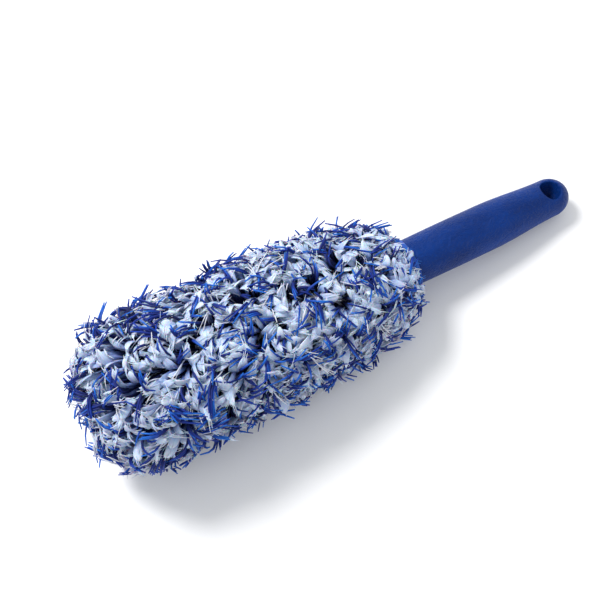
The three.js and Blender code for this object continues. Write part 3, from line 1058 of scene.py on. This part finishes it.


# Each yarn's colours run from root to tip; the dark root colours are painted shade, deep in the
# pile.
WHITES = {
    "white": ("0a1c58", "6c82b6", "bac9e2", "dae3ef"),
    "pale": ("091950", "6278b0", "aebedc", "cfdaea"),
    "lilac": ("08164b", "5a6ea8", "a2b3d8", "c4d0e8"),
}
BLUES = {
    "navy": ("020a2c", "04144e", "06247c", "0a3ca8"),
    "blue": ("030a28", "05185c", "083698", "1464c8"),
}
SOFTNESS = {"Subsurface_Weight": 0.35, "Subsurface_Scale": 1.5 * MM, "fibres": 5.0}


def shaded_yarns(shades, places, gloss, **soft):
    """Yarns of one kind in several shades, each with its colours at places from root to tip."""
    return {
        name: pile_yarn(f"pile_{name}", list(zip(places, colours)), gloss, **soft)
        for name, colours in shades.items()
    }


def tuft_pieces(whites, partings, rng):
    """The tufts' stems, and their pads and frays in each white."""
    turn, bends = tuft_bends(partings, rng)
    # the stems show the pale yarn's lower colours, its painted shade
    pieces = yarn_pieces("stems", stems(turn, bends, rng), 5, whites["pale"])
    soft = Tufts(turn, bends, rng)
    for label, made, sides in (("tufts", soft.pads(), 10), ("frays", soft.frays(), 4)):
        kind = np.minimum((made[-1] * len(whites)).astype(int), len(whites) - 1)
        for number, (name, white) in enumerate(whites.items()):
            mine = [array[kind == number] for array in made]
            pieces += yarn_pieces(f"{label}_{name}", mine, sides, white)
    return pieces


def pile():
    """The pieces of the pile, in pairs: one on the upper panel, then one on the lower."""
    rng = np.random.default_rng(SEED)
    distance, turn = scattered(PARTING_SPACING, rng)
    partings = PILE.at(pile_distance(distance), turn)
    whites = shaded_yarns(WHITES, (0.3, 0.55, 0.78, 1), 0.9, **SOFTNESS)
    blues = shaded_yarns(BLUES, (0.2, 0.6, 0.85, 1), 0.6)
    # painted shade: these two yarns also darken towards the root
    collar = pile_yarn("collar_yarn", [(0.1, "0a2c80"), (0.6, "0f48a8"), (1, "2a70cc")], 0.8)
    bright = pile_yarn("pile_bright", [(0.2, "4a5890"), (0.7, "c3c9dd"), (1.0, "e9ebf3")], 0.5)
    pieces = tuft_pieces(whites, partings, rng)
    filaments = clumps(
        scattered(CLUMP_SPACING, rng), partings, rng, strands=(1, 2, 5), width=CLUMP_WIDTH,
        levels=(0.96, 1.06), leans=(8, 17), hooks=(-4, 4), wander=1.6,
    )
    navy = filaments[-1] < NAVY_SHARE
    for (name, blue), mine in zip(blues.items(), (navy, ~navy)):
        made = [array[mine] for array in filaments]
        pieces += yarn_pieces(f"filaments_{name}", made, 5, blue)
    loose = clumps(
        scattered(LOOSE_SPACING, rng), partings, rng, strands=(1, 2, 4), width=0.36 * MM,
        levels=(0.88, 1.08), leans=(6, 15), hooks=(-2, 4), wander=1.0,
    )
    pieces += yarn_pieces("loose_threads", loose, 5, bright)
    edge = scattered(COLLAR_SPACING, rng, CLOTH.length - COLLAR_WIDTH, CLOTH.length)
    fuzz = clumps(
        edge, partings, rng, strands=(2, 4, 6), width=0.4 * MM,
        levels=(0.35, 0.8), leans=(4, 8), hooks=(0, 2), wander=0.35, steps=7,
    )
    return pieces + yarn_pieces("collar_fuzz", fuzz, 5, collar)


# ---- assembly


def repaint(node, material):
    """Gives a CAD node that's carried over its material."""
    materials = frame["nodes"][node].data.materials
    materials.clear()
    materials.append(material)


def handle_and_core():
    handle_body(handle_plastic())
    repaint("neck_plug", dull_plastic("plug_plastic", "1d1f23", "2c2f34"))
    spine_paint = dull_plastic("spine_plastic", "c9cbd2", "dfe0e6")
    repaint("spine_tang", spine_paint)
    spine_rod(spine_paint)
    foam = foam_rubber()
    foam_half("foam_pad_upper", 1, "foam_upper", foam)
    foam_half("foam_pad_lower", -1, "foam_lower", foam)


def sleeve():
    knit = knitted_cloth("backing_cloth", "aeb7d6", "d3d8ea")
    binding = knitted_cloth("hem_cloth", "083a98", "1060c8", 0.8 * MM, sheen=0.1)
    braid = knitted_cloth("elastic", "d8d8d2", "f2f2ee", 0.7 * MM)
    upper = cloth_panel("cloth_upper", 1, "backing_upper", knit)
    lower = cloth_panel("cloth_lower", -1, "backing_lower", knit)
    tape = seam_tape(binding)
    hem_half = NECK + HEM_GAP
    hem = mouth_ring("hem_roll", hem_half, (MOUTH, MOUTH + HEM_WIDTH), HEM_THICKNESS, 0.12, binding)
    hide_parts("hem_band")
    cord_half = hem_half + HEM_THICKNESS / 2 - CORD_THICKNESS / 2
    cord_span = (MOUTH + HEM_WIDTH * 0.25, MOUTH + HEM_WIDTH * 0.75)
    elastic = mouth_ring("hem_cord", cord_half, cord_span, CORD_THICKNESS, 0.0, braid)
    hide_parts("hem_elastic")
    strands = pile()


# ---- floor, light and camera

CAMERA_AZIMUTH = math.radians(30.2)  # how far the view turns from +Y towards +X
CAMERA_HEIGHT = math.radians(64.0)
CAMERA_DISTANCE = 0.55
CAMERA_LENS = 51.3  # mm, for a frame 36 mm wide
AIM_SHIFT = Vector((-29.0, 11.6, -13.0)) * MM  # from the middle of the object's box
FLOOR_REACH = 6.0
WORLD_LIGHT = 0.76


def camera_step(right, away, high):
    """A step to the right, away from the camera and up, as the camera stands."""
    sin, cos = math.sin(CAMERA_AZIMUTH), math.cos(CAMERA_AZIMUTH)
    return Vector((cos, -sin, 0)) * right + Vector((sin, cos, 0)) * away + Vector((0, 0, high))


def floor():
    mesh = bpy.data.meshes.new("floor")
    signs = [(-1, -1), (1, -1), (1, 1), (-1, 1)]
    corners = [(x * FLOOR_REACH, y * FLOOR_REACH, 0) for x, y in signs]
    mesh.from_pydata(corners, [], [(0, 1, 2, 3)])
    mesh.materials.append(Paint("floor", "f4f4f6", 0.9).material)
    ground = bpy.data.objects.new("floor", mesh)
    bpy.context.scene.collection.objects.link(ground)


def soft_light(name, step, aim, size, power, colour):
    """A round soft light that stands a camera step from what it aims at."""
    light = bpy.data.lights.new(name, "AREA")
    light.shape = "DISK"
    light.size = size
    light.energy = power
    light.color = colour
    lamp = bpy.data.objects.new(name, light)
    lamp.location = aim + step
    lamp.rotation_euler = (-step).to_track_quat("-Z", "Y").to_euler()
    bpy.context.scene.collection.objects.link(lamp)


def studio(aim):
    """A bright even surround, a key light from the upper left and a faint fill."""
    world = bpy.data.worlds.new("studio")
    world.use_nodes = True
    background = world.node_tree.nodes["Background"]
    background.inputs["Color"].default_value = (0.98, 1, 1, 1)
    background.inputs["Strength"].default_value = WORLD_LIGHT
    bpy.context.scene.world = world
    soft_light("key", camera_step(-0.6, 0.36, 0.98), aim, 0.45, 15, (1, 0.99, 0.97))
    soft_light("fill", camera_step(0.9, -0.7, 0.9), aim, 0.9, 1, (0.93, 0.96, 1))


def camera(aim):
    data = bpy.data.cameras.new("camera")
    data.sensor_width = 36
    data.lens = CAMERA_LENS
    shot = bpy.data.objects.new("camera", data)
    view = camera_step(0, math.cos(CAMERA_HEIGHT), -math.sin(CAMERA_HEIGHT))
    shot.location = aim - view * CAMERA_DISTANCE
    shot.rotation_euler = view.to_track_quat("-Z", "Y").to_euler()
    bpy.context.scene.collection.objects.link(shot)
    bpy.context.scene.camera = shot


handle_and_core()
sleeve()
floor()
aim = (cad_box[0] + cad_box[1]) / 2 + AIM_SHIFT
studio(aim)
camera(aim)
bpy.context.scene.view_settings.view_transform = "Standard"
